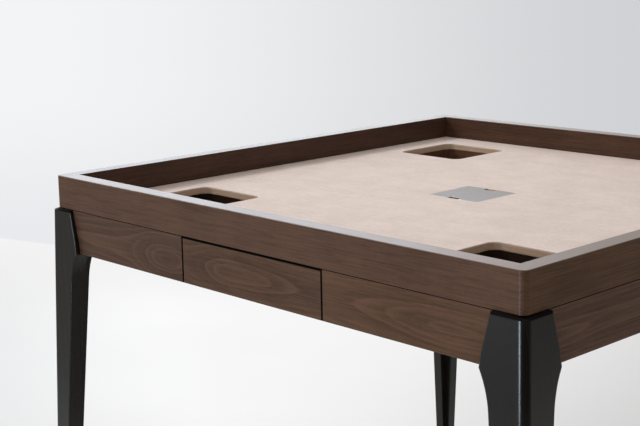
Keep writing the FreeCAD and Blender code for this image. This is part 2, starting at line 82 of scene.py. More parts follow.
def add(tree, kind, inputs=None, **settings):
    """A new node, with its settings made and its inputs set or joined."""
    made = tree.nodes.new("ShaderNode" + kind)
    for name, value in settings.items():
        setattr(made, name, value)
    for key, value in (inputs or {}).items():
        join(tree, made.inputs[key], value)
    return made


def tint(tree, share, low, high):
    """A colour between two others."""
    return add(tree, "Mix", {0: share, 6: low, 7: high}, data_type="RGBA").outputs[2]


def between(tree, value, low, high, to_low=0.0, to_high=1.0):
    """A value carried smoothly from one range into another, and held there."""
    inputs = {"Value": value, "From Min": low, "From Max": high}
    inputs.update({"To Min": to_low, "To Max": to_high})
    return add(tree, "MapRange", inputs, interpolation_type="SMOOTHSTEP").outputs[0]


print("helpers for nodes are ready")

# %% Helpers for sums
ALONG, UPWARD = 0, 2


def calc(tree, operation, *values):
    """The result of one sum on numbers or sockets."""
    return add(tree, "Math", dict(enumerate(values)), operation=operation).outputs[0]


def times(tree, first, second):
    return calc(tree, "MULTIPLY", first, second)


def raised(tree, base, mask, span):
    """A number that a mask lifts from a base by up to a span."""
    return calc(tree, "ADD", times(tree, mask, span), base)


def what_is_left(tree, share):
    """One, less a share."""
    return calc(tree, "SUBTRACT", 1.0, share)


def shift(tree, operation, *values):
    """The result of one sum on vectors."""
    return add(tree, "VectorMath", dict(enumerate(values)), operation=operation).outputs[0]


def reach_along(tree, vector, direction):
    """How far a vector reaches in a direction."""
    product = add(tree, "VectorMath", {0: vector, 1: direction}, operation="DOT_PRODUCT")
    return product.outputs["Value"]


def length_of(tree, vector):
    return add(tree, "VectorMath", {0: vector}, operation="LENGTH").outputs["Value"]


def number_on(tree, vector, axis):
    """One of a vector's three numbers."""
    return add(tree, "SeparateXYZ", {0: vector}).outputs[axis]


print("helpers for sums are ready")

# %% Helpers for node groups
def new_effect(name, inputs, outputs):
    """A node group with its sockets. Inputs are a name, a kind and a value."""
    tree = bpy.data.node_groups.new(name, "ShaderNodeTree")
    for label, kind, value in inputs:
        socket = tree.interface.new_socket(
            label, in_out="INPUT", socket_type="NodeSocket" + kind
        )
        if value is not None:
            socket.default_value = value
    for label, kind in outputs:
        tree.interface.new_socket(label, in_out="OUTPUT", socket_type="NodeSocket" + kind)
    return tree, tree.nodes.new("NodeGroupInput").outputs


def close_effect(tree, results):
    """Joins a node group's results to its outputs."""
    ending = tree.nodes.new("NodeGroupOutput")
    for label, socket in results.items():
        tree.links.new(socket, ending.inputs[label])
    print("effect", tree.name, "puts out", ", ".join(results))
    return tree


def effect(tree, group, inputs=None):
    """A node group placed in a finish. Gives its outputs."""
    made = tree.nodes.new("ShaderNodeGroup")
    made.node_tree = group
    for key, value in (inputs or {}).items():
        join(tree, made.inputs[key], value)
    return made.outputs


print("helpers for node groups are ready")

# %% [markdown]
# ## Where a grain lies
#
# Wood is a solid, so its figure should run through a board and not be stuck on its faces. Each
# wooden piece therefore reads its figure from its own place in the table: the place is turned so
# that the first number runs along the board, the second into its thickness and the third across
# its width. A shift moves each board to a different part of the log, so no two look alike.

# %% Effect: a board's own place
def turned_by(tree, spot, rotation):
    """A place turned round the middle of the table."""
    inputs = {"Vector": spot, "Rotation": rotation}
    return add(tree, "VectorRotate", inputs, rotation_type="EULER_XYZ").outputs[0]


def make_board_place():
    tree, given = new_effect(
        "board_place",
        [("Turn", "Vector", (0, 0, 0)), ("Shift", "Vector", (0, 0, 0))],
        [("Place", "Vector")],
    )
    spot = add(tree, "TexCoord").outputs["Object"]
    turned = turned_by(tree, spot, given["Turn"])
    return close_effect(tree, {"Place": shift(tree, "ADD", turned, given["Shift"])})


board_place = make_board_place()

# %% [markdown]
# ## Growth rings
#
# A tree's rings are nested cylinders round its pith. A board sawn from it shows straight lines
# where its face cuts them squarely, and arches, called cathedrals, where the face lies along
# them and the trunk swells or tapers. So the figure is worked out from the distance to the pith,
# with a swell added where the trunk bulges. A picture of wood could be mapped on instead, but it
# would not turn the corner from a face to an end.

# %% Effect: a swell in the trunk
def make_trunk_swell():
    tree, given = new_effect(
        "trunk_swell",
        [("Place", "Vector", None), ("At", "Float", 0.0), ("Length", "Float", 0.05),
         ("Depth", "Float", 0.01)],
        [("Swell", "Float")],
    )
    along = number_on(tree, given["Place"], ALONG)
    away = calc(tree, "DIVIDE", calc(tree, "SUBTRACT", along, given["At"]), given["Length"])
    fall = calc(tree, "EXPONENT", times(tree, times(tree, away, away), -1))
    return close_effect(tree, {"Swell": times(tree, fall, given["Depth"])})


trunk_swell = make_trunk_swell()

# %% Effect: growth rings
BEND_STRETCH = (2.2, 14.0, 14.0)
LATE_WOOD_RISE, LATE_WOOD_END = 2.5, 0.86  # how steeply a line rises, and where it fades
FAINTEST_RING, RING_DIFFERENCE = 0.45, 0.9


def make_growth_rings():
    tree, given = new_effect(
        "growth_rings",
        [("Place", "Vector", None), ("Swell", "Float", 0.0), ("Pith Depth", "Float", 0.1),
         ("Pith Height", "Float", 0.1), ("Spacing", "Float", 0.004), ("Wander", "Float", 0.003)],
        [("Line", "Float"), ("Ring", "Float")],
    )
    depth, height = add(tree, "SeparateXYZ", {0: given["Place"]}).outputs[1:3]
    drawn_out = shift(tree, "MULTIPLY", given["Place"], BEND_STRETCH)
    bend = add(tree, "TexNoise", {"Vector": drawn_out, "Scale": 1.0, "Detail": 3.0}).outputs[0]
    bend = times(tree, calc(tree, "SUBTRACT", bend, 0.5), given["Wander"])
    inward = calc(tree, "SUBTRACT", calc(tree, "ADD", depth, given["Swell"]), given["Pith Depth"])
    upward = calc(tree, "SUBTRACT", height, given["Pith Height"])
    squares = calc(tree, "ADD", times(tree, inward, inward), times(tree, upward, upward))
    from_pith = calc(tree, "ADD", calc(tree, "SQRT", squares), bend)
    count = calc(tree, "DIVIDE", from_pith, given["Spacing"])
    share = calc(tree, "FRACT", count)
    rise = calc(tree, "POWER", share, LATE_WOOD_RISE)
    late = times(tree, rise, between(tree, share, 1.0, LATE_WOOD_END))
    ring = add(
        tree, "TexWhiteNoise", {"W": calc(tree, "FLOOR", count)}, noise_dimensions="1D"
    ).outputs[0]
    strength = raised(tree, FAINTEST_RING, ring, RING_DIFFERENCE)
    return close_effect(tree, {"Line": times(tree, late, strength), "Ring": ring})


growth_rings = make_growth_rings()

# %% [markdown]
# ## Streaks, pores and blotches
#
# Between its rings walnut has long pale and dark streaks and short open pores, all drawn out
# along the board. They could be drawn as lines, but noise that is stretched along the grain never
# repeats, so one group makes both from it. A second gives slow cloudy changes, for anything that
# is never quite even: tone, polish, handling marks.

# %% Effect: streaks and pores
STREAK_SLOWNESS = 0.035  # along the grain, against one across it
PORE_DASHES = (95.0, 1700.0, 1700.0)  # dashes in a metre, along and across the grain
STREAK_RANGE, PORE_RANGE = (0.3, 0.7), (0.6, 0.72)  # of the noise that turns into a mask


def make_fibres():
    tree, given = new_effect(
        "fibres",
        [("Place", "Vector", None), ("Streak Width", "Float", 0.004)],
        [("Streak", "Float"), ("Pore", "Float")],
    )
    fine = calc(tree, "DIVIDE", 1.0, given["Streak Width"])
    long = times(tree, fine, STREAK_SLOWNESS)
    stretch = add(tree, "CombineXYZ", {0: long, 1: fine, 2: fine}).outputs[0]
    drawn_out = shift(tree, "MULTIPLY", given["Place"], stretch)
    streak = add(
        tree, "TexNoise", {"Vector": drawn_out, "Scale": 1.0, "Detail": 4.0, "Roughness": 0.62}
    ).outputs[0]
    dashes = shift(tree, "MULTIPLY", given["Place"], PORE_DASHES)
    pore = add(tree, "TexNoise", {"Vector": dashes, "Scale": 1.0, "Detail": 1.0}).outputs[0]
    streaks, pores = between(tree, streak, *STREAK_RANGE), between(tree, pore, *PORE_RANGE)
    return close_effect(tree, {"Streak": streaks, "Pore": pores})


fibres = make_fibres()

# %% Effect: blotches
BLOTCH_RANGE = (0.28, 0.72)


def make_blotches():
    tree, given = new_effect(
        "blotches",
        [("Place", "Vector", None), ("Size", "Float", 0.08), ("Detail", "Float", 3.0)],
        [("Blotch", "Float")],
    )
    cloud = add(
        tree,
        "TexNoise",
        {"Vector": given["Place"], "Scale": calc(tree, "DIVIDE", 1.0, given["Size"]),
         "Detail": given["Detail"]},
    ).outputs[0]
    return close_effect(tree, {"Blotch": between(tree, cloud, *BLOTCH_RANGE)})


blotches = make_blotches()

# %% [markdown]
# ## Rubbed edges
#
# Hands and cloths wear a finish first along its edges, where it goes a little paler and
# smoother. An edge could be found from the mesh's own curvature, but these meshes have few
# points. A rounded normal is compared with the real one instead: they differ only near an edge.

# %% Effect: rubbed edges
EDGE_RANGE = (0.995, 0.8)  # how well the two normals agree where wear starts and is full
WEAR_PATCHES, PATCH_RANGE = 55.0, (0.3, 0.65)


def make_rubbed_edge():
    tree, given = new_effect(
        "rubbed_edge",
        [("Place", "Vector", None), ("Reach", "Float", 0.002)],
        [("Edge", "Float"), ("Normal", "Vector")],
    )
    rounded = add(tree, "Bevel", {"Radius": given["Reach"]}, samples=6).outputs[0]
    agreement = reach_along(tree, rounded, add(tree, "NewGeometry").outputs["Normal"])
    near = between(tree, agreement, *EDGE_RANGE)
    patchy = add(tree, "TexNoise", {"Vector": given["Place"], "Scale": WEAR_PATCHES}).outputs[0]
    worn = times(tree, near, between(tree, patchy, *PATCH_RANGE))
    return close_effect(tree, {"Edge": worn, "Normal": rounded})


rubbed_edge = make_rubbed_edge()

# %% [markdown]
# ## Dirt in a joint
# Where two boards meet, their edges are slightly broken and the groove between them collects
# dirt and polish and lies in shade. The mesh alone would leave it too pale, so a mask finds the
# places close to a given line, and the finish is darkened and dulled there: a dark joint with
# painted shade in it. In the gaps round the drawers and at the legs' tops under the rim, the
# same darkening is painted shade alone.

# %% Effect: the shade in a joint
JOINT_FADE = (1.0, 0.45)  # shares of the joint's width where the shade starts and is full


def make_joint_shade():
    tree, given = new_effect(
        "joint_shade",
        [("Place", "Float", 0.0), ("Joint", "Float", 0.0), ("Width", "Float", 0.001)],
        [("Shade", "Float")],
    )
    away = calc(tree, "ABSOLUTE", calc(tree, "SUBTRACT", given["Place"], given["Joint"]))
    share = calc(tree, "DIVIDE", away, given["Width"])
    return close_effect(tree, {"Shade": between(tree, share, *JOINT_FADE)})


joint_shade = make_joint_shade()

# %% [markdown]
# ## A finish from these effects
#
# A wooden finish has four layers: the ground colour that drifts between two tones, the ring
# lines, the pores, and the rubbed edges. Each board could have a network of its own, but one
# function stacks the layers for all of them, and each kind of wood and each board only gives it
# different colours and a different part of the log. The lacquer's index is low, because a thin
# open-pored lacquer mirrors little until light slides along it.

# %% Start a finish
def new_finish(name):
    """A material with one shader. Gives the material, its nodes and the shader."""
    finish = bpy.data.materials.new(name)
    finish.use_nodes = True
    tree = finish.node_tree
    tree.nodes.clear()
    shader = add(tree, "BsdfPrincipled")
    tree.links.new(shader.outputs[0], add(tree, "OutputMaterial").inputs["Surface"])
    return finish, tree, shader


def bumped(tree, height, depth, normal=None):
    """A normal that follows a height, where full height is this many metres."""
    inputs = {"Height": height, "Distance": depth, "Strength": 1.0}
    if normal is not None:
        inputs["Normal"] = normal
    return add(tree, "Bump", inputs).outputs[0]


def set_all(tree, shader, values):
    """Sets or joins several of a shader's sockets."""
    for name, value in values.items():
        join(tree, shader.inputs[name], value)


def dress(finish, *names):
    """Gives pieces of joinery their finish."""
    for name in names:
        for slot in nodes[name].material_slots:
            slot.material = finish


print("a finish can be started")

# %% Layers of a wooden finish
PORE_DARKNESS = 0.35
# The joint tone is a dark joint at the seams, and painted shade in the gaps and under the rim
JOINT_AND_SHADOW_TONE = card(16, 12, 10)
SEAM, GAP, STEP = 0.0008, 0.0014, 0.005  # how far the shade reaches from a joint's line


def trunk_shape(tree, place, slope, swells):
    """How far the rings are pushed outward: the trunk's taper, and its swells."""
    shape = times(tree, number_on(tree, place, ALONG), slope)
    for at, length, depth in swells:
        inputs = {"Place": place, "At": at, "Length": length, "Depth": depth}
        shape = calc(tree, "ADD", shape, effect(tree, trunk_swell, inputs)[0])
    return shape


def ground_tone(tree, tones, masks, shares):
    """The ground colour, drifting between two tones with clouds, streaks and single rings."""
    first, second, third = (times(tree, mask, share) for mask, share in zip(masks, shares))
    return tint(tree, calc(tree, "ADD", calc(tree, "ADD", first, second), third), *tones)


def layered(tree, colour, layers):
    """A colour with others laid over it. Each layer is a mask, its strength and a colour."""
    for mask, strength, tone in layers:
        colour = tint(tree, times(tree, mask, strength), colour, tone)
    return colour


def joint_and_shadow_mask(tree, place, joints):
    """Where any of a board's joints lies. A joint is an axis, a place along it and a width."""
    shade = 0.0
    for axis, at, width in joints:
        inputs = {"Place": number_on(tree, place, axis), "Joint": at, "Width": width}
        shade = calc(tree, "MAXIMUM", shade, effect(tree, joint_shade, inputs)[0])
    return shade


print("layers of wood are ready")

# %% Finish: wood
LACQUER_INDEX = 1.12
CLOUD_SIZE = 0.09
GRAIN_DEPTH = 0.00004
STREAK_RISE, PORE_SINK = 0.4, 0.6


def wood(name, tones, line_tone, turn=(0, 0, 0), move=(0, 0, 0), pith=(0.2, 0.0), spacing=0.004,
         wander=0.004, swells=(), slope=0.0, line_share=0.5, pore_share=0.35, streak_width=0.004,
         ground_shares=(0.4, 0.4, 0.2), polish=(0.32, 0.42), coat=0.0, coat_roughness=0.25,
         edge_tone=None, edge_share=0.3, joints=(), gloss_index=1.4, coat_index=1.4,
         place_effect=None):
    """A solid wood finish. Tones are the dark and pale ground; swells are At, Length, Depth."""
    finish, tree, shader = new_finish(name)
    turned = tuple(math.radians(angle) for angle in turn)
    place = effect(tree, place_effect or board_place, {"Turn": turned, "Shift": move})[0]
    figure = {"Place": place, "Swell": trunk_shape(tree, place, slope, swells)}
    figure.update({"Pith Depth": pith[0], "Pith Height": pith[1]})
    figure.update({"Spacing": spacing, "Wander": wander})
    line, ring = effect(tree, growth_rings, figure)
    streak, pore = effect(tree, fibres, {"Place": place, "Streak Width": streak_width})
    cloud = effect(tree, blotches, {"Place": place, "Size": CLOUD_SIZE})[0]
    edge, soft_normal = effect(tree, rubbed_edge, {"Place": place})
    ground = ground_tone(tree, tones, (cloud, streak, ring), ground_shares)
    open_pore = tuple(amount * PORE_DARKNESS for amount in tones[0])
    colour = layered(
        tree,
        ground,
        [(line, line_share, line_tone), (pore, pore_share, open_pore),
         (edge, edge_share, edge_tone or line_tone)],
    )
    # Near a joint the colour darkens and the gloss dulls: a dark joint, and painted shade
    shade = joint_and_shadow_mask(tree, place, joints)
    uneven = raised(tree, polish[0], cloud, polish[1] - polish[0])
    height = calc(
        tree, "SUBTRACT", times(tree, streak, STREAK_RISE), times(tree, pore, PORE_SINK)
    )
    set_all(
        tree,
        shader,
        {"Base Color": tint(tree, shade, colour, JOINT_AND_SHADOW_TONE),
         "Roughness": calc(tree, "MAXIMUM", uneven, shade),
         "Normal": bumped(tree, height, GRAIN_DEPTH, soft_normal),
         "Coat Weight": times(tree, what_is_left(tree, shade), coat) if joints else coat,
         "IOR": gloss_index, "Coat Roughness": coat_roughness, "Coat IOR": coat_index},
    )
    print("finish", name)
    return finish


# %% [markdown]
# ## Walnut for the rim
#
# The rim's four boards are mitred, and their grain runs straight round the table, so each board
# is turned to its own side. One finish could serve all four, but then the grain would run across
# two of them. They are cut so that both faces meet the rings at a slant, which gives the fine
# straight lines of a quiet, even board. The clear lacquer is thin and silky. The boards' tones
# hold painted shade: the right board, which faces away from the window, and the back and left
# boards, whose inner faces are seen in shade, are darker than the front.

# %% Rim boards
# The darker tones of the right, back and left boards are painted shade
RIM_LIT_AND_SHADED_TONES = {
    "front": (card(66, 48, 39), card(99, 74, 60)),
    "right": (card(61, 44, 32), card(89, 66, 48)),
    "back": (card(50, 35, 27), card(78, 55, 43)),
    "left": (card(50, 35, 28), card(76, 54, 44)),
}
RIM_LINE = card(106, 77, 60)
RIM_COAT_INDEX = 1.15
RIM_PLACES = {"front": 0.0, "right": 1.3, "back": 2.9, "left": 4.1}
RIM_CUT = dict(
    pith=(-0.28, 0.52), spacing=0.0032, wander=0.006, line_share=0.3, pore_share=0.5,
    streak_width=0.0022, ground_shares=(0.3, 0.55, 0.15), coat=1.0, coat_roughness=0.28,
    edge_share=0.1, joints=((UPWARD, seam_level, SEAM),), gloss_index=LACQUER_INDEX,
    coat_index=RIM_COAT_INDEX,
)

for side, degrees in SIDES.items():
    rim_walnut = wood(
        "walnut_rim_" + side, RIM_LIT_AND_SHADED_TONES[side], RIM_LINE, turn=(0, 0, -degrees),
        move=(RIM_PLACES[side], 0, 0), **RIM_CUT,
    )
    dress(rim_walnut, "rim_" + side)

# %% [markdown]
# ## Walnut for the apron and drawer fronts
#
# These are cut flat from the log, so they show cathedrals. On the front left panel the arches
# are nested round a swelling near the drawer, the drawer front has a long closed eye left of its
# middle, and on the front right panel the arches start beside the drawer and open towards the
# leg. The pith lies a little behind the face, and the slope is the trunk's taper. The other
# three sides are cut from other parts of the same log. Each board also gets the joints that its
# own edges make: a dark seam under the rim, and painted shade along the gaps round the drawer.

# %% Cuts of the apron panels and drawer fronts
APRON_TONES = {
    "left": (card(62, 47, 39), card(89, 69, 58)),
    "drawer": (card(66, 49, 40), card(94, 72, 59)),
    "right": (card(71, 53, 41), card(100, 76, 60)),
}
APRON_LINE = card(118, 90, 73)
APRON_CUT = dict(
    spacing=0.0055, wander=0.02, line_share=0.38, pore_share=0.45, streak_width=0.0022,
    ground_shares=(0.25, 0.55, 0.2), coat=0.6, coat_roughness=0.3, edge_share=0.0,
    gloss_index=LACQUER_INDEX, coat_index=LACQUER_INDEX,
)
FRONT_CUTS = {
    "left": dict(pith=(-0.452, 0.667), slope=0.02, swells=((-0.19, 0.06, 0.026),)),
    "drawer": dict(
        pith=(-0.452, 0.670), slope=0.01, swells=((-0.062, 0.045, 0.011), (0.012, 0.07, 0.012))
    ),
    "right": dict(pith=(-0.440, 0.671), slope=0.075, swells=((0.40, 0.09, 0.014),)),
}
OTHER_CUTS = {
    "left": dict(pith=(-0.447, 0.671), slope=-0.05, swells=((-0.20, 0.09, 0.006),)),
    "drawer": dict(pith=(-0.452, 0.676), slope=0.05, swells=((0.04, 0.06, 0.018),)),
    "right": dict(pith=(-0.454, 0.667), slope=0.07, swells=((0.32, 0.05, 0.012),)),
}
print("cuts for", ", ".join(FRONT_CUTS), "are chosen")

# %% Apron panels and drawer fronts
drawer_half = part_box("drawer_front_front")[1].x
drawer_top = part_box("drawer_front_front")[1].z
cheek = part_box("apron_front_right")[0].x
# The gap joints round each drawer front are painted shade, and the seam joint is a dark joint
BOARD_JOINTS = {
    "left": ((UPWARD, seam_level, SEAM), (ALONG, -cheek, GAP)),
    "drawer": ((UPWARD, drawer_top, GAP), (ALONG, -drawer_half, GAP), (ALONG, drawer_half, GAP)),
    "right": ((UPWARD, seam_level, SEAM), (ALONG, cheek, GAP)),
}


def flat_sawn(side, degrees, board, node):
    """Dresses one panel or drawer front."""
    cut = FRONT_CUTS[board] if side == "front" else OTHER_CUTS[board]
    finish = wood(
        "walnut_" + node, APRON_TONES[board], APRON_LINE, turn=(0, 0, -degrees),
        joints=BOARD_JOINTS[board], **APRON_CUT, **cut,
    )
    dress(finish, node)


for side, degrees in SIDES.items():
    flat_sawn(side, degrees, "left", "apron_" + side + "_left")
    flat_sawn(side, degrees, "drawer", "drawer_front_" + side)
    flat_sawn(side, degrees, "right", "apron_" + side + "_right")

# %% [markdown]
# ## Black legs
#
# The legs are hardwood, stained black and sprayed with a satin lacquer that fills the grain but
# lets it show faintly when light slides along it. A plain black paint would be simpler, but it
# would hide that grain. The wood's own finish is used with near black tones, and the grain runs
# up the leg. A brown tone comes through where the edges are rubbed. The lacquer was sprayed leg
# by leg, so its index differs a little: the higher it is, the brighter the light it mirrors. A
# darker band at the top of each leg is painted shadow, where the rim shades it.

# %% Legs
LEG_TONES = (card(12, 10, 9), card(19, 16, 13))
LEG_LINE = card(40, 35, 31)
LEG_EDGE = card(54, 47, 40)
LEG_COAT_INDEX = {"front_right": 1.46, "back_right": 1.32, "back_left": 1.28, "front_left": 1.34}
LEG_STEP = 0.7
LEG_CUT = dict(
    turn=(0, 90, 0), pith=(0.3, 0.2), spacing=0.005, line_share=0.3, pore_share=0.15,
    streak_width=0.003, polish=(0.3, 0.38), coat=1.0, coat_roughness=0.23, edge_tone=LEG_EDGE,
    edge_share=0.15, gloss_index=LACQUER_INDEX,
)

# The joint at each leg's top is painted shadow under the rim
for number, corner in enumerate(CORNERS):
    log_place = LEG_STEP * number
    leg_black = wood(
        "black_leg_" + corner, LEG_TONES, LEG_LINE, move=(log_place, 0, 0),
        joints=((ALONG, leg_top + log_place, STEP),), coat_index=LEG_COAT_INDEX[corner], **LEG_CUT,
    )
    dress(leg_black, "leg_" + corner)

# %% [markdown]
# ## Edging of the wells
#
# A solid pale lipping edges the board round each well, four strips that meet at rounded corners.
# Its grain has to run along each strip. It could be four finishes, one for a side, but the ring
# is a single piece of joinery, so the place that the grain is read from turns with the face:
# faces that look sideways read it a quarter turn round.

# %% Effect: a place that turns with the face
QUARTER_TURN = (0, 0, math.radians(90))


def make_wrapped_place():
    tree, given = new_effect(
        "wrapped_place",
        [("Turn", "Vector", (0, 0, 0)), ("Shift", "Vector", (0, 0, 0))],
        [("Place", "Vector")],
    )
    spot = add(tree, "TexCoord").outputs["Object"]
    facing = add(tree, "SeparateXYZ", {0: add(tree, "NewGeometry").outputs["Normal"]}).outputs
    to_side, to_front = (calc(tree, "ABSOLUTE", facing[axis]) for axis in (0, 1))
    sideways = calc(tree, "GREATER_THAN", to_side, to_front)
    across = turned_by(tree, spot, QUARTER_TURN)
    along = add(tree, "Mix", {0: sideways, 4: spot, 5: across}, data_type="VECTOR").outputs[1]
    turned = turned_by(tree, along, given["Turn"])
    return close_effect(tree, {"Place": shift(tree, "ADD", turned, given["Shift"])})


wrapped_place = make_wrapped_place()

# %% Lipping
LIPPING_TONES = (card(170, 144, 122), card(194, 168, 146))
LIPPING_LINE = card(150, 122, 100)

lipping = wood(
    "lipping", LIPPING_TONES, LIPPING_LINE, pith=(-0.4, 0.9), spacing=0.003, line_share=0.4,
    streak_width=0.0025, polish=(0.4, 0.5), edge_share=0.0, place_effect=wrapped_place,
)
dress(lipping, "well_lippings")

# %% [markdown]
# ## Wells and middle box
#
# The trays of the wells and the box in the middle are oiled walnut, not polished, and nearly
# black: painted shade, as they lie deep under the top. One tray, into which the window shines,
# and the floors get a paler brown: painted light.

# %% Wells and middle box
# The near black tones are painted shade, and the paler brown is painted light
SHADED_WELL_TONES, SHADED_WELL_LINE = (card(28, 19, 14), card(42, 29, 22)), card(48, 34, 26)
LIT_WELL_TONES, LIT_WELL_LINE = (card(72, 49, 35), card(94, 67, 49)), card(102, 75, 56)
TRAY_CUT = dict(
    pith=(-0.6, 0.9), spacing=0.004, line_share=0.4, polish=(0.5, 0.6), gloss_index=LACQUER_INDEX
)

dark_walnut = wood(
    "dark_walnut", SHADED_WELL_TONES, SHADED_WELL_LINE, edge_share=0.1, **TRAY_CUT
)
dress(dark_walnut, "centre_box", "centre_box_floor", "well_tray_front_left")
dress(dark_walnut, "well_tray_front_right", "well_tray_back_right")

lit_well_walnut = wood("lit_well_walnut", LIT_WELL_TONES, LIT_WELL_LINE, **TRAY_CUT)
dress(lit_well_walnut, "well_tray_floors", "well_tray_back_left")

# %% [markdown]
# ## Woods that are seen less
#
# The corner posts are a plain brown hardwood, the battens and the grid a pale frame wood, the
# drawer boxes a light wood, and the runners, dowels and splines beech. They show only when a
# drawer is open or from below. A flat colour would do there, but they get the same layers with
# quieter figures, so that an open drawer looks as finished as the outside.

# %% Posts and frame
POST_TONES, POST_LINE = (card(96, 66, 46), card(124, 88, 62)), card(84, 58, 40)
FRAME_TONES, FRAME_LINE = (card(186, 158, 122), card(206, 181, 146)), card(168, 136, 100)
FRAME_CUT = dict(
    pith=(-0.2, 0.9), spacing=0.005, polish=(0.6, 0.7), edge_tone=card(214, 194, 162)
)

post_brown = wood(
    "post_brown", POST_TONES, POST_LINE, turn=(0, 90, 0), pith=(0.4, 0.3), polish=(0.5, 0.6)
)
dress(post_brown, "corner_posts")

frame_along = wood("frame_wood_along", FRAME_TONES, FRAME_LINE, **FRAME_CUT)
frame_across = wood(
    "frame_wood_across", FRAME_TONES, FRAME_LINE, turn=(0, 0, 90), **FRAME_CUT
)
dress(frame_along, "batten_front", "batten_back", "grid_board_front", "grid_board_back")
dress(frame_across, "batten_left", "batten_right", "grid_board_left", "grid_board_right")

# %% Drawer boxes
BOX_TONES, BOX_LINE = (card(196, 168, 130), card(214, 190, 154)), card(176, 144, 106)
BOX_CUT = dict(spacing=0.004, polish=(0.5, 0.6), edge_tone=card(224, 206, 176))
SIDE_PITH, BACK_PITH = (-0.5, 0.55), (-0.6, 0.62)

for side, degrees in SIDES.items():
    for board, turn, pith in (("side", 90 - degrees, SIDE_PITH), ("back", -degrees, BACK_PITH)):
        box_wood = wood(
            "box_" + board + "_" + side, BOX_TONES, BOX_LINE, turn=(0, 0, turn), pith=pith,
            **BOX_CUT,
        )
        dress(box_wood, ("drawer_sides_" if board == "side" else "drawer_back_") + side)

# %% Runners, dowels and splines
BEECH_TONES, BEECH_LINE = (card(204, 160, 122), card(220, 182, 146)), card(186, 138, 100)

beech = wood(
    "beech", BEECH_TONES, BEECH_LINE, pith=(-0.3, 0.2), spacing=0.006, line_share=0.3,
    pore_share=0.5, polish=(0.5, 0.6), edge_tone=card(228, 200, 168),
)
dress(beech, "drawer_runners", "apron_dowels", "mitre_splines")

# %% [markdown]
# ## Plywood
#
# The playing board and the drawer bottoms are birch plywood: thin sheets glued with their grain
# crossed. A cut edge shows them as stripes. They could be modelled as separate sheets, but that
# would add many faces for stripes of a millimetre, so the layer number comes from the height, and
# every other layer is darker. The faces show one long, quiet figure.

# %% Effect: layers
GLUE_SHARE = 0.12


def make_layers():
    tree, given = new_effect(
        "ply_layers",
        [("Place", "Vector", None), ("Thickness", "Float", 0.0013)],
        [("Layer", "Float"), ("Glue", "Float")],
    )
    height = number_on(tree, given["Place"], UPWARD)
    count = calc(tree, "DIVIDE", height, given["Thickness"])
    share = calc(tree, "FRACT", times(tree, count, 0.5))
    layer = calc(tree, "GREATER_THAN", share, 0.5)
    glue = calc(tree, "LESS_THAN", calc(tree, "FRACT", count), GLUE_SHARE)
    return close_effect(tree, {"Layer": layer, "Glue": glue})


ply_layers = make_layers()

# %% Finish: plywood
PLY_FACE = (card(206, 178, 138), card(224, 202, 168))
PLY_DARK, PLY_GLUE, PLY_EDGE = card(172, 134, 94), card(96, 66, 46), card(228, 212, 184)
DARK_SHARE, STRIPE_SHARE, EDGE_SHARE = 0.7, 0.6, 0.4
PLY_STREAK, PLY_EDGE_REACH = 0.006, 0.0008
PLY_ROUGHNESS, PLY_STREAK_ROUGHNESS = 0.55, 0.1
UPRIGHT = 0.5  # a face that looks up or down by less than this is a cut edge


def plywood(name, degrees):
    """Birch plywood with its face grain turned by so many degrees."""
    finish, tree, shader = new_finish(name)
    turned = (0, 0, math.radians(degrees))
    place = effect(tree, board_place, {"Turn": turned, "Shift": (0, 0, 0)})[0]
    streak, pore = effect(tree, fibres, {"Place": place, "Streak Width": PLY_STREAK})
    layer, glue = effect(tree, ply_layers, {"Place": place})
    upward = number_on(tree, add(tree, "NewGeometry").outputs["Normal"], UPWARD)
    on_edge = calc(tree, "LESS_THAN", calc(tree, "ABSOLUTE", upward), UPRIGHT)
    face = tint(tree, streak, *PLY_FACE)
    stripes = layered(
        tree, face, [(layer, DARK_SHARE, PLY_DARK), (glue, STRIPE_SHARE, PLY_GLUE)]
    )
    edge, soft_normal = effect(tree, rubbed_edge, {"Place": place, "Reach": PLY_EDGE_REACH})
    shown = tint(tree, on_edge, face, stripes)
    height = calc(tree, "SUBTRACT", streak, pore)
    set_all(
        tree,
        shader,
        {"Base Color": layered(tree, shown, [(edge, EDGE_SHARE, PLY_EDGE)]),
         "Roughness": raised(tree, PLY_ROUGHNESS, streak, PLY_STREAK_ROUGHNESS),
         "Normal": bumped(tree, height, GRAIN_DEPTH, soft_normal)},
    )
    print("finish", name)
    return finish


ply_along, ply_across = plywood("plywood_along", 0), plywood("plywood_across", 90)
dress(ply_along, "playing_board", "drawer_bottom_left", "drawer_bottom_right")
dress(ply_across, "drawer_bottom_front", "drawer_bottom_back")

# %% [markdown]
# ## Leather
#
# The top is one sheet of fine leather, glued flat to the board, and it ends in a rounded edge
# over the lippings of the wells. Close to, leather is a pavement of tiny pads with creases
# between them, and the creases are darkened as painted shade. From further off it shows soft
# mottling and faint marks where the hide was stretched. Noise alone would look like felt, so
# the pads come from cells whose edges are sunk.

# %% Effect: hide grain
BEND_FINENESS, BEND_REACH = 260.0, 0.0012
PAD_RANGE, CREASE_RANGE = (0.02, 0.32), (0.16, 0.0)  # distances from a cell's edge


def make_hide_grain():
    tree, given = new_effect(
        "hide_grain",
        [("Place", "Vector", None), ("Pad Size", "Float", 0.0016)],
        [("Height", "Float"), ("Crease", "Float")],
    )
    fine = calc(tree, "DIVIDE", 1.0, given["Pad Size"])
    bent = add(tree, "TexNoise", {"Vector": given["Place"], "Scale": BEND_FINENESS})
    nudge = add(
        tree, "VectorMath", {0: bent.outputs["Color"], "Scale": BEND_REACH}, operation="SCALE"
    ).outputs[0]
    spot = shift(tree, "ADD", given["Place"], nudge)
    cells = add(
        tree, "TexVoronoi", {"Vector": spot, "Scale": fine}, feature="DISTANCE_TO_EDGE"
    ).outputs["Distance"]
    pad, crease = between(tree, cells, *PAD_RANGE), between(tree, cells, *CREASE_RANGE)
    return close_effect(tree, {"Height": pad, "Crease": crease})


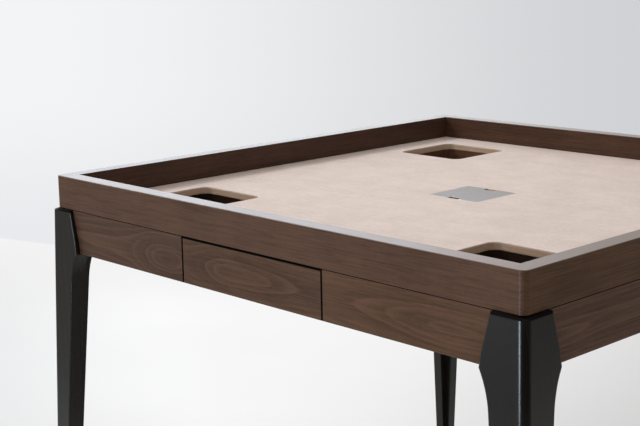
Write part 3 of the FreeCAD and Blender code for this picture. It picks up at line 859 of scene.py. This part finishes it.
hide_grain = make_hide_grain()

# %% Finish: leather
LEATHER_TONES = (card(187, 173, 166), card(210, 197, 192))
# The crease tone is painted shade between the pads
LEATHER_CREASE_SHADE, LEATHER_EDGE = card(178, 158, 146), card(196, 172, 154)
LEATHER_CLOUD, LEATHER_FLECK, LEATHER_STREAK = 0.05, 0.007, 0.008
CLOUD_SHARE, FLECK_SHARE, STREAK_SHARE = 0.35, 0.4, 0.25
CREASE_SHARE, LEATHER_EDGE_SHARE, LEATHER_EDGE_REACH = 0.35, 0.3, 0.0015
LEATHER_INDEX, LEATHER_SHEEN, SHEEN_ROUGHNESS = 1.1, 0.06, 0.5
LEATHER_ROUGHNESS, FLECK_ROUGHNESS = 0.5, 0.1
PAD_DEPTH, CLOUD_HEIGHT = 0.00006, 2.0


def leather(name):
    finish, tree, shader = new_finish(name)
    place = effect(tree, board_place)[0]
    height, crease = effect(tree, hide_grain, {"Place": place})
    cloud = effect(tree, blotches, {"Place": place, "Size": LEATHER_CLOUD, "Detail": 6.0})[0]
    fleck = effect(tree, blotches, {"Place": place, "Size": LEATHER_FLECK, "Detail": 3.0})[0]
    streak = effect(tree, fibres, {"Place": place, "Streak Width": LEATHER_STREAK})["Streak"]
    small = calc(
        tree, "ADD", times(tree, fleck, FLECK_SHARE), times(tree, streak, STREAK_SHARE)
    )
    mottle = calc(tree, "ADD", times(tree, cloud, CLOUD_SHARE), small)
    edge = effect(tree, rubbed_edge, {"Place": place, "Reach": LEATHER_EDGE_REACH})["Edge"]
    colour = layered(
        tree,
        tint(tree, mottle, *LEATHER_TONES),
        [(crease, CREASE_SHARE, LEATHER_CREASE_SHADE), (edge, LEATHER_EDGE_SHARE, LEATHER_EDGE)],
    )
    relief = calc(tree, "ADD", height, times(tree, cloud, CLOUD_HEIGHT))
    set_all(
        tree,
        shader,
        {"Base Color": colour,
         "Roughness": raised(tree, LEATHER_ROUGHNESS, fleck, FLECK_ROUGHNESS),
         "Normal": bumped(tree, relief, PAD_DEPTH), "IOR": LEATHER_INDEX,
         "Sheen Weight": LEATHER_SHEEN, "Sheen Roughness": SHEEN_ROUGHNESS},
    )
    print("finish", name)
    return finish


dress(leather("leather"), "leather_top")

# %% [markdown]
# ## Steel
#
# The lid of the box in the middle is brushed stainless steel: thousands of fine parallel
# scratches from an abrasive belt, which spread a reflection sideways. Stretched noise makes the
# scratches, a little in the colour and a little in the bump, because bump alone disappears from
# further off. The tint at the edge keeps a low glance from turning the plate into a mirror, as
# the fine roughness of a brushed face does.

# %% Effect: brushed lines
BRUSH_STRETCH = (14.0, 2600.0, 2600.0)
SCRATCH_RANGE = (0.3, 0.7)


def make_brush_lines():
    tree, given = new_effect(
        "brush_lines",
        [("Place", "Vector", None)],
        [("Scratch", "Float")],
    )
    drawn_out = shift(tree, "MULTIPLY", given["Place"], BRUSH_STRETCH)
    scratch = add(
        tree, "TexNoise", {"Vector": drawn_out, "Scale": 1.0, "Detail": 3.0, "Roughness": 0.7}
    ).outputs[0]
    return close_effect(tree, {"Scratch": between(tree, scratch, *SCRATCH_RANGE)})


brush_lines = make_brush_lines()

# %% Finish: steel
STEEL_TONES, STEEL_RUBBED = (card(152, 148, 146), card(182, 178, 176)), card(224, 224, 228)
STEEL_EDGE = (0.4, 0.4, 0.4, 1.0)
STEEL_ROUGHNESS, SMUDGE_ROUGHNESS, SCRATCH_ROUGHNESS = 0.28, 0.06, 0.1
SMUDGE_SIZE, SCRATCH_DEPTH = 0.03, 0.000012
STEEL_RUB, STEEL_RUB_REACH = 0.6, 0.0008


def brushed_steel(name):
    finish, tree, shader = new_finish(name)
    place = effect(tree, board_place)[0]
    scratch = effect(tree, brush_lines, {"Place": place})[0]
    smudge = effect(tree, blotches, {"Place": place, "Size": SMUDGE_SIZE})[0]
    edge, soft_normal = effect(tree, rubbed_edge, {"Place": place, "Reach": STEEL_RUB_REACH})
    metal = tint(tree, scratch, *STEEL_TONES)
    handled = raised(tree, STEEL_ROUGHNESS, smudge, SMUDGE_ROUGHNESS)
    set_all(
        tree,
        shader,
        {"Base Color": layered(tree, metal, [(edge, STEEL_RUB, STEEL_RUBBED)]),
         "Roughness": calc(tree, "ADD", times(tree, scratch, SCRATCH_ROUGHNESS), handled),
         "Metallic": 1.0, "Specular Tint": STEEL_EDGE,
         "Normal": bumped(tree, scratch, SCRATCH_DEPTH, soft_normal)},
    )
    print("finish", name)
    return finish


dress(brushed_steel("brushed_steel"), "centre_plate")

# %% [markdown]
# ## Zinc and nylon
#
# The screws, bolts and washers are plated with zinc, whose shine is slightly mottled where its
# crystals differ. The glides under the legs are moulded black nylon, a little scuffed. Both are
# seen only from below or in an open drawer, so a ground and one mask are enough.

# %% Finishes: zinc and nylon
ZINC = dict(
    tones=(card(150, 152, 156), card(182, 184, 188)), rubbed=card(214, 214, 218), size=0.004,
    roughness=0.3, span=0.15, reach=0.0005, metallic=1.0,
)
NYLON = dict(
    tones=(card(26, 26, 27), card(36, 36, 37)), rubbed=card(70, 70, 70), size=0.002,
    roughness=0.45, span=0.12, reach=0.0006, depth=0.00005,
)
RUB_SHARE = 0.5


def small_part(name, tones, rubbed, size, roughness, span, reach, metallic=0.0, depth=0.0):
    """A cloudy ground with rubbed edges. The depth is that of a moulded grain, if it has one."""
    finish, tree, shader = new_finish(name)
    place = effect(tree, board_place)[0]
    cloud = effect(tree, blotches, {"Place": place, "Size": size})[0]
    edge, soft_normal = effect(tree, rubbed_edge, {"Place": place, "Reach": reach})
    ground = tint(tree, cloud, *tones)
    set_all(
        tree,
        shader,
        {"Base Color": layered(tree, ground, [(edge, RUB_SHARE, rubbed)]),
         "Roughness": raised(tree, roughness, cloud, span), "Metallic": metallic,
         "Normal": bumped(tree, cloud, depth, soft_normal) if depth else soft_normal},
    )
    print("finish", name)
    return finish


zinc_plate, black_nylon = small_part("zinc_plate", **ZINC), small_part("black_nylon", **NYLON)
dress(zinc_plate, "batten_screws", "tray_screws", "runner_screws", "leg_bolts")
dress(black_nylon, "leg_glides")

# %% [markdown]
# ## Floor and room
#
# The table stands on a plain pale floor in a pale room that is brighter on the left, where the
# window is. A bent studio sheet would need careful lighting to look even from every side. Here
# the floor is one flat face. Near the table it is a real matt surface, which takes the table's
# shadow, and further off it passes into the even glow of the backdrop, so no edge shows. The
# faint line where floor and wall meet is drawn on it, at its real place behind the table.

# %% Colours and places of the room
FLOOR_REACH = 40.0
FLOOR_NEAR, FLOOR_FAR = 1.9, 3.4
WALL_POINT, WALL_NORMAL = (-3.169, 0.970, 0), (-0.272, 0.962, 0)
WALL_LINE = (-0.01, 0.02)
GLOW_CENTRE = (1.42, -1.69, 0)
EYE_HEIGHT = 1.13
WINDOW_SIDE, DARK_SIDE = (-0.94, -0.34, 0.0), (0.62, -0.78, 0.0)
FRONT_LIGHT = (-0.47, -0.88, 0.0)
WINDOW_GLOW = (0.2, 0.64)
WALL_HIGH, WALL_LOW = card(243, 244, 246), card(233, 234, 237)
WALL_RIGHT, WALL_DROP = card(208, 209, 212), (0.1, 0.22)
FLOOR_LEFT, FLOOR_RIGHT = card(243, 243, 243), card(220, 220, 220)
FLOOR_CLOUD, FLOOR_ROUGHNESS = 0.6, 0.7
FLOOR_TONES = (card(225, 227, 230), card(228, 230, 233))
FLOOR_SHADY, FLOOR_FRONT = card(196, 198, 201), card(206, 208, 211)


def facing_share(tree, direction, side, low, high):
    """How much a level direction faces a side, from none at low to all at high."""
    level = shift(tree, "NORMALIZE", shift(tree, "MULTIPLY", direction, (1, 1, 0)))
    return between(tree, reach_along(tree, level, side), low, high)


def wall_glow(tree, direction, drop):
    """The backdrop's colour: paler on the left than on the right, and paler higher up."""
    left = tint(tree, between(tree, drop, *WALL_DROP), WALL_HIGH, WALL_LOW)
    share = facing_share(tree, direction, WINDOW_SIDE, *WINDOW_GLOW)
    return tint(tree, share, WALL_RIGHT, left)


print("the room's colours are chosen")

# %% [markdown]
# ## The floor's two faces
#
# The matt surface gets a tone that evens out what the lamps do to it: a little darker where
# they are strong. The glow reads its colour from the direction in which a place lies, as the
# room behind it would. Black lacquer mirrors this floor, so rays of gloss see a weaker glow on
# the dark side than the eye does. Light Path tells the rays apart. Rays that spread light see
# the matt surface alone, so the glow adds no light to the table.

# %% Tone and glow of the floor
SHADY_RANGE, FAR_RANGE, FRONT_RANGE = (-0.6, 0.7), (-2.0, -0.7), (0.2, 0.9)
MIRRORED_LEAST, MIRRORED_FRONT = 0.3, (0.85, 1.0)
UNMIRRORED, UNMIRRORED_SIDE = 0.95, (0.15, 0.6)


def floor_tone(tree, spot):
    """The matt floor's own colour."""
    cloud = effect(tree, blotches, {"Place": spot, "Size": FLOOR_CLOUD})[0]
    middle = tint(tree, cloud, *FLOOR_TONES)
    across = reach_along(tree, spot, WINDOW_SIDE)
    base = tint(tree, between(tree, across, *SHADY_RANGE), FLOOR_SHADY, middle)
    base = tint(tree, between(tree, across, *FAR_RANGE), middle, base)
    to_front = reach_along(tree, spot, FRONT_LIGHT)
    return tint(tree, between(tree, to_front, *FRONT_RANGE), base, FLOOR_FRONT)


def mirrored_light(tree, spot, gloss):
    """The glow's strength: full for the eye, and weaker for gloss away from the front."""
    in_front = facing_share(tree, spot, FRONT_LIGHT, *MIRRORED_FRONT)
    bright = between(tree, in_front, 0.0, 1.0, MIRRORED_LEAST, 1.0)
    dark = times(tree, facing_share(tree, spot, DARK_SIDE, *UNMIRRORED_SIDE), UNMIRRORED)
    mirrored = times(tree, bright, what_is_left(tree, dark))
    return what_is_left(tree, times(tree, what_is_left(tree, mirrored), gloss))


def floor_glow(tree, spot, on_wall, gloss):
    """The backdrop's glow, as it lies on the floor and on the wall."""
    direction = shift(tree, "SUBTRACT", spot, GLOW_CENTRE)
    drop = calc(tree, "DIVIDE", EYE_HEIGHT, length_of(tree, direction))
    wall = wall_glow(tree, direction, drop)
    share = facing_share(tree, direction, WINDOW_SIDE, *WINDOW_GLOW)
    ground = tint(tree, share, FLOOR_RIGHT, FLOOR_LEFT)
    inputs = {"Color": tint(tree, on_wall, ground, wall)}
    inputs["Strength"] = mirrored_light(tree, spot, gloss)
    return add(tree, "Emission", inputs).outputs[0]


print("the floor's tone and glow are ready")

# %% Floor
def make_floor():
    corners = [(-1, -1), (1, -1), (1, 1), (-1, 1)]
    points = [(FLOOR_REACH * x, FLOOR_REACH * y, 0.0) for x, y in corners]
    mesh = bpy.data.meshes.new("floor")
    mesh.from_pydata(points, [], [(0, 1, 2, 3)])
    floor = bpy.data.objects.new("floor", mesh)
    bpy.context.scene.collection.objects.link(floor)
    return floor


def floor_finish():
    finish, tree, shader = new_finish("pale_floor")
    spot = add(tree, "NewGeometry").outputs["Position"]
    set_all(
        tree,
        shader,
        {"Base Color": floor_tone(tree, spot), "Roughness": FLOOR_ROUGHNESS,
         "Specular IOR Level": 0.0},
    )
    past_wall = reach_along(tree, shift(tree, "SUBTRACT", spot, WALL_POINT), WALL_NORMAL)
    on_wall = between(tree, past_wall, *WALL_LINE)
    path = add(tree, "LightPath").outputs
    gloss = path["Is Glossy Ray"]
    glow = floor_glow(tree, spot, on_wall, gloss)
    far = between(tree, calc(tree, "ADD", length_of(tree, spot), gloss), FLOOR_NEAR, FLOOR_FAR)
    beyond = calc(tree, "MAXIMUM", far, on_wall)
    indirect = calc(tree, "MAXIMUM", gloss, path["Is Transmission Ray"])
    seen = calc(tree, "MAXIMUM", path["Is Camera Ray"], indirect)
    mixed = add(tree, "MixShader", {0: times(tree, beyond, seen), 1: shader.outputs[0], 2: glow})
    ending = next(one for one in tree.nodes if one.type == "OUTPUT_MATERIAL")
    tree.links.new(mixed.outputs[0], ending.inputs["Surface"])
    return finish


floor = make_floor()
floor.data.materials.append(floor_finish())
print("floor is laid,", 2 * FLOOR_REACH, "metres across")

# %% [markdown]
# ## Lamps
#
# One large soft lamp stands for the window at the left, low enough that the rim throws a narrow
# shadow on the leather. A slim strip lamp in front draws the light line down the rounded
# corners. It is seen only in gloss: as a second source of light it would wash out the grain of
# the front, so it is left out of the diffuse light. Neither lamp is seen by the camera.

# %% Lamps
WINDOW_TOWARDS = Vector((-0.76, -0.32, 0.64)).normalized()
WINDOW_DISTANCE, WINDOW_SIZE, WINDOW_POWER = 4.2, 0.9, 93.0
STRIP_PLACE = Vector((0.03, -2.23, 1.1))
STRIP_WIDTH, STRIP_HEIGHT, STRIP_POWER = 0.5, 2.1, 45.0
WINDOW_TONE, STRIP_TONE = (0.94, 0.98, 1.0), (0.75, 0.86, 1.0)


def make_lamp(name, place, towards, width, height, power, tone):
    """A flat lamp that shines away from the side it is towards."""
    lamp = bpy.data.lights.new(name, "AREA")
    lamp.shape = "RECTANGLE"
    lamp.size, lamp.size_y = width, height
    lamp.energy = power
    lamp.color = tone
    holder = bpy.data.objects.new(name, lamp)
    bpy.context.scene.collection.objects.link(holder)
    holder.location = place
    holder.rotation_euler = towards.to_track_quat("Z", "Y").to_euler()
    holder.visible_camera = False
    return holder


make_lamp(
    "window", Vector((0, 0, rim_top)) + WINDOW_TOWARDS * WINDOW_DISTANCE, WINDOW_TOWARDS,
    WINDOW_SIZE, WINDOW_SIZE, WINDOW_POWER, WINDOW_TONE,
)
strip = make_lamp(
    "strip", STRIP_PLACE, Vector((STRIP_PLACE.x, STRIP_PLACE.y, 0)), STRIP_WIDTH, STRIP_HEIGHT,
    STRIP_POWER, STRIP_TONE,
)
strip.visible_diffuse = False
print("window lamp of", WINDOW_POWER, "watts and strip lamp of", STRIP_POWER)

# %% [markdown]
# ## Light of the room
#
# The room itself gives the rest of the light, slightly warm, bright on the window's side and dim
# opposite. The wall behind the table is what the rim's lacquer mirrors: cool and bright on the
# left and warmer on the right. A picture of a room could be used for all this, but two plain
# backgrounds are easier to tune. Rays that come straight from the camera see the plain backdrop.

# %% Room
ROOM_DIM, ROOM_BRIGHT, ROOM_TONE = 0.66, 1.35, card(255, 250, 245)
ROOM_FADE = (-0.2, 0.8)
MIRROR_SIDE, MIRROR_FADE = (-0.66, 0.75, 0.0), (0.3, 0.8)
MIRROR_RIGHT, MIRROR_LEFT, MIRROR_TURN = 0.92, 2.65, (0.1, 0.56)
MIRROR_WARM, MIRROR_COOL = card(255, 251, 248), card(241, 247, 255)


def background(tree, colour, strength=1.0):
    return add(tree, "Background", {"Color": colour, "Strength": strength}).outputs[0]


def make_room():
    world = bpy.data.worlds.new("room")
    bpy.context.scene.world = world
    world.use_nodes = True
    tree = world.node_tree
    tree.nodes.clear()
    direction = add(tree, "TexCoord").outputs["Generated"]
    path = add(tree, "LightPath").outputs
    to_window = reach_along(tree, direction, WINDOW_SIDE)
    level = between(tree, to_window, *ROOM_FADE, ROOM_DIM, ROOM_BRIGHT)
    room = background(tree, ROOM_TONE, level)
    share = facing_share(tree, direction, WINDOW_SIDE, *MIRROR_TURN)
    strength = between(tree, share, 0.0, 1.0, MIRROR_RIGHT, MIRROR_LEFT)
    mirror = background(tree, tint(tree, share, MIRROR_WARM, MIRROR_COOL), strength)
    ahead = facing_share(tree, direction, MIRROR_SIDE, *MIRROR_FADE)
    mirrored = times(tree, path["Is Glossy Ray"], ahead)
    lit = add(tree, "MixShader", {0: mirrored, 1: room, 2: mirror}).outputs[0]
    backdrop = background(tree, wall_glow(tree, direction, 0.0))
    mixed = add(tree, "MixShader", {0: path["Is Camera Ray"], 1: lit, 2: backdrop})
    tree.links.new(mixed.outputs[0], add(tree, "OutputWorld").inputs["Surface"])


make_room()
bpy.context.scene.view_settings.view_transform = "Standard"
print("the room is", ROOM_DIM, "bright on its dim side and", ROOM_BRIGHT, "at the window")

# %% [markdown]
# ## Camera
#
# The camera stands at the near right corner, a little above the table, and looks slightly down.
# It could be aimed at a point, but a point leaves its roll open, so it is turned by its bearing,
# its dip and a small roll. The picture is shifted a little, so that the table sits where it
# should without tilting the lens any further.

# %% Camera
CAMERA_PLACE = Vector((1.3768, -1.6367, 1.1286))
CAMERA_TURNS = (-46.692, 9.684, -1.140)
CAMERA_LENS, SENSOR_WIDTH = 74.885, 36.0
PICTURE_WIDTH, PICTURE_DROP = 640, 45
NEAREST, FURTHEST = 0.05, 100.0


def camera_turn(bearing, dip, roll):
    """The camera's rotation, as a matrix whose columns are its right, up and back."""
    ahead = Vector((math.sin(bearing), math.cos(bearing), -math.tan(dip))).normalized()
    level_right = ahead.cross(Vector((0, 0, 1))).normalized()
    level_up = level_right.cross(ahead)
    across = level_right * math.cos(roll) + level_up * math.sin(roll)
    upward = level_up * math.cos(roll) - level_right * math.sin(roll)
    return Matrix((across, upward, -ahead)).transposed().to_4x4()


def make_camera():
    lens = bpy.data.cameras.new("camera")
    lens.lens = CAMERA_LENS
    lens.sensor_width = SENSOR_WIDTH
    lens.shift_y = -PICTURE_DROP / PICTURE_WIDTH
    lens.clip_start, lens.clip_end = NEAREST, FURTHEST
    camera = bpy.data.objects.new("camera", lens)
    bpy.context.scene.collection.objects.link(camera)
    turn = camera_turn(*(math.radians(angle) for angle in CAMERA_TURNS))
    camera.matrix_world = Matrix.Translation(CAMERA_PLACE) @ turn
    bpy.context.scene.camera = camera


make_camera()
print("camera at", list(CAMERA_PLACE))
